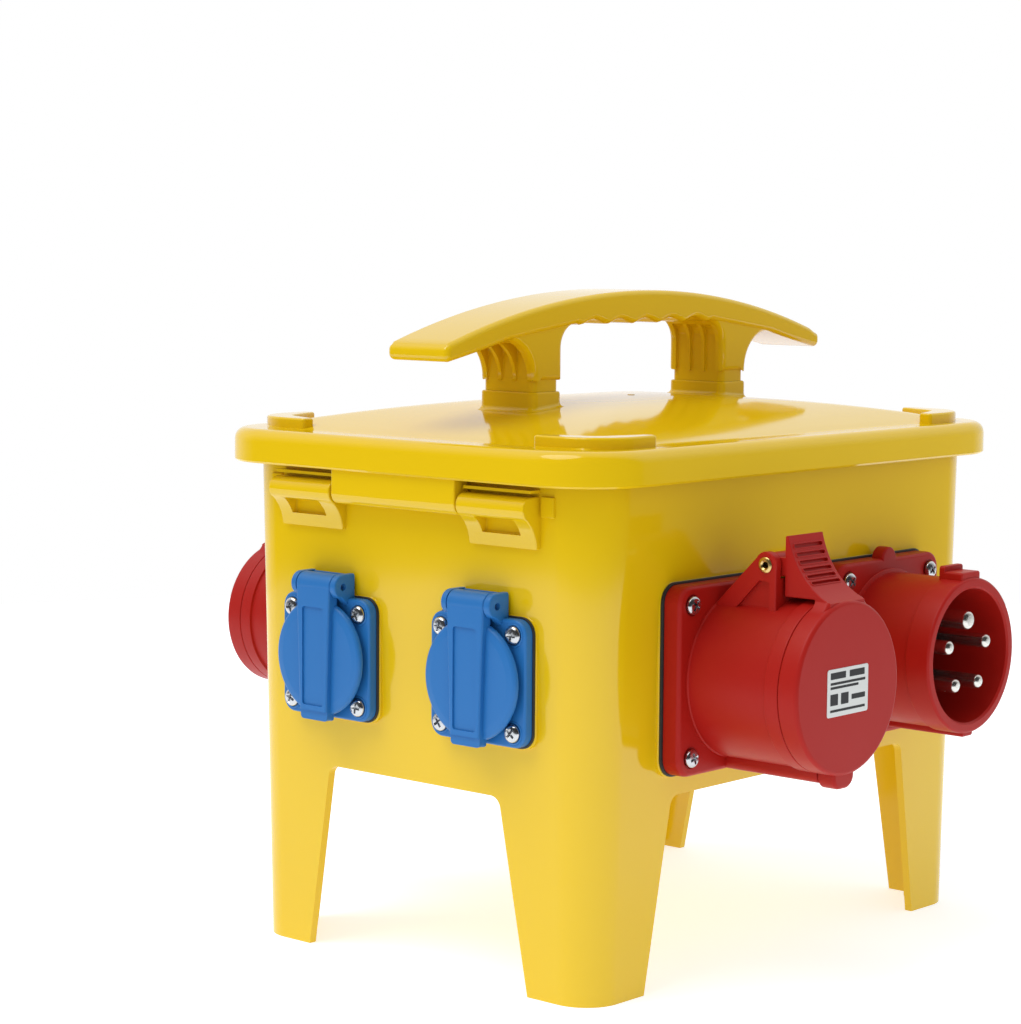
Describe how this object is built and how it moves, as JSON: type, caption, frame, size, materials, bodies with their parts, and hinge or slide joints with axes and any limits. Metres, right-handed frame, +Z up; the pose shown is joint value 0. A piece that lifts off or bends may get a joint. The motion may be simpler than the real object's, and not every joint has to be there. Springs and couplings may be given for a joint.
{
  "type": "portable power distribution box",
  "caption": "Moulded yellow power box on four legs: hinged domed lid with bow handle, blue flap sockets in front, red capped round sockets and a shrouded pin inlet on the sides.",
  "frame": {"origin": "on the ground, under the middle of the box", "axes": "+X towards the large capped socket and the inlet, -Y towards the lid's hinge and the blue sockets, +Z up"},
  "size_m": [0.3174, 0.2873, 0.274],
  "materials": {
    "yellow_plastic": "glossy injection-moulded, warm yellow",
    "red_plastic": "satin moulded, fine spark-eroded grain",
    "blue_plastic": "satin moulded",
    "grey_plastic": "matt moulded, light grey",
    "black_plastic": "matt moulded",
    "black_rubber": "matt rubber",
    "cable_jacket": "semi-matt sheath",
    "zinc_steel": "bright zinc-plated steel",
    "nickel_plate": "nickel-plated brass",
    "brass": "bare brass",
    "label_film": null
  },
  "bodies": {
    "tub": {"body_shell": "yellow_plastic", "lid_hinge_pin": "zinc_steel", "lid_lock_screws": "zinc_steel", "schuko_left_housing": "blue_plastic", "schuko_left_gasket": "black_rubber", "schuko_left_flap_pin": "zinc_steel", "schuko_right_housing": "blue_plastic", "schuko_right_gasket": "black_rubber", "schuko_right_flap_pin": "zinc_steel", "schuko_contacts": "brass", "schuko_flap_springs": "zinc_steel", "schuko_screws": "zinc_steel", "cee32_housing": "red_plastic", "cee32_insert": "red_plastic", "cee32_gasket": "black_rubber", "cee32_flap_pin": "brass", "cee16_front_housing": "red_plastic", "cee16_front_insert": "red_plastic", "cee16_front_gasket": "black_rubber", "cee16_front_flap_pin": "brass", "cee16_rear_housing": "red_plastic", "cee16_rear_insert": "red_plastic", "cee16_rear_gasket": "black_rubber", "cee16_rear_flap_pin": "brass", "cee_contacts": "brass", "cee_flap_springs": "zinc_steel", "cee_screws": "zinc_steel", "inlet_housing": "red_plastic", "inlet_insert": "black_plastic", "inlet_pins": "nickel_plate", "inlet_gasket": "black_rubber", "din_rail": "zinc_steel", "rail_screws": "zinc_steel", "rcd_body": "grey_plastic", "mcb_3p_body": "grey_plastic", "mcb_a_body": "grey_plastic", "mcb_b_body": "grey_plastic", "terminal_block": "grey_plastic", "wiring": "cable_jacket"},
    "lid": {"lid_shell": "yellow_plastic", "lid_seal": "black_rubber", "handle": "yellow_plastic", "handle_screws": "zinc_steel"},
    "schuko_left_flap_body": {"schuko_left_flap": "blue_plastic", "schuko_left_flap_seal": "black_rubber"},
    "schuko_right_flap_body": {"schuko_right_flap": "blue_plastic", "schuko_right_flap_seal": "black_rubber"},
    "cee32_flap_body": {"cee32_flap": "red_plastic", "cee32_flap_seal": "black_rubber", "cee32_label": "label_film"},
    "cee16_front_flap_body": {"cee16_front_flap": "red_plastic", "cee16_front_flap_seal": "black_rubber"},
    "cee16_rear_flap_body": {"cee16_rear_flap": "red_plastic", "cee16_rear_flap_seal": "black_rubber"},
    "rcd_lever_body": {"rcd_lever": "blue_plastic"},
    "rcd_button_body": {"rcd_test_button": "black_plastic"},
    "mcb_3p_lever_body": {"mcb_3p_lever": "black_plastic"},
    "mcb_a_lever_body": {"mcb_a_lever": "black_plastic"},
    "mcb_b_lever_body": {"mcb_b_lever": "black_plastic"}
  },
  "joints": [
    {"name": "lid_hinge", "type": "hinge", "parent": "tub", "child": "lid", "pos_m": [0, -0.137, 0.193], "axis": [1, 0, 0], "range_deg": [0, 110]},
    {"name": "schuko_left_flap_hinge", "type": "hinge", "parent": "tub", "child": "schuko_left_flap_body", "pos_m": [-0.042, -0.1389, 0.1548], "axis": [-1, 0, 0], "range_deg": [0, 110], "stiffness_Nm_per_rad": 0.02, "springref_deg": -34.38},
    {"name": "schuko_right_flap_hinge", "type": "hinge", "parent": "tub", "child": "schuko_right_flap_body", "pos_m": [0.042, -0.1389, 0.1548], "axis": [-1, 0, 0], "range_deg": [0, 110], "stiffness_Nm_per_rad": 0.02, "springref_deg": -34.38},
    {"name": "cee32_flap_hinge", "type": "hinge", "parent": "tub", "child": "cee32_flap_body", "pos_m": [0.13, -0.0525, 0.1713], "axis": [0, -1, 0], "range_deg": [0, 100], "stiffness_Nm_per_rad": 0.06, "springref_deg": -34.38},
    {"name": "cee16_front_flap_hinge", "type": "hinge", "parent": "tub", "child": "cee16_front_flap_body", "pos_m": [-0.13, -0.0525, 0.1713], "axis": [0, 1, 0], "range_deg": [0, 100], "stiffness_Nm_per_rad": 0.06, "springref_deg": -34.38},
    {"name": "cee16_rear_flap_hinge", "type": "hinge", "parent": "tub", "child": "cee16_rear_flap_body", "pos_m": [-0.13, 0.0525, 0.1713], "axis": [0, 1, 0], "range_deg": [0, 100], "stiffness_Nm_per_rad": 0.06, "springref_deg": -34.38},
    {"name": "rcd_lever_throw", "type": "hinge", "parent": "tub", "child": "rcd_lever_body", "pos_m": [0, -0.0509, 0.15], "axis": [0, -1, 0], "range_deg": [0, 76]},
    {"name": "mcb_3p_lever_throw", "type": "hinge", "parent": "tub", "child": "mcb_3p_lever_body", "pos_m": [0, 0.0107, 0.15], "axis": [0, -1, 0], "range_deg": [0, 76]},
    {"name": "mcb_a_lever_throw", "type": "hinge", "parent": "tub", "child": "mcb_a_lever_body", "pos_m": [0, 0.0459, 0.15], "axis": [0, -1, 0], "range_deg": [0, 76]},
    {"name": "mcb_b_lever_throw", "type": "hinge", "parent": "tub", "child": "mcb_b_lever_body", "pos_m": [0, 0.0635, 0.15], "axis": [0, -1, 0], "range_deg": [0, 76]},
    {"name": "rcd_test_press", "type": "slide", "parent": "tub", "child": "rcd_button_body", "axis": [0, 0, -1], "range_m": [0, 0.0015], "stiffness_N_per_m": 800, "springref_m": -0.001}
  ]
}
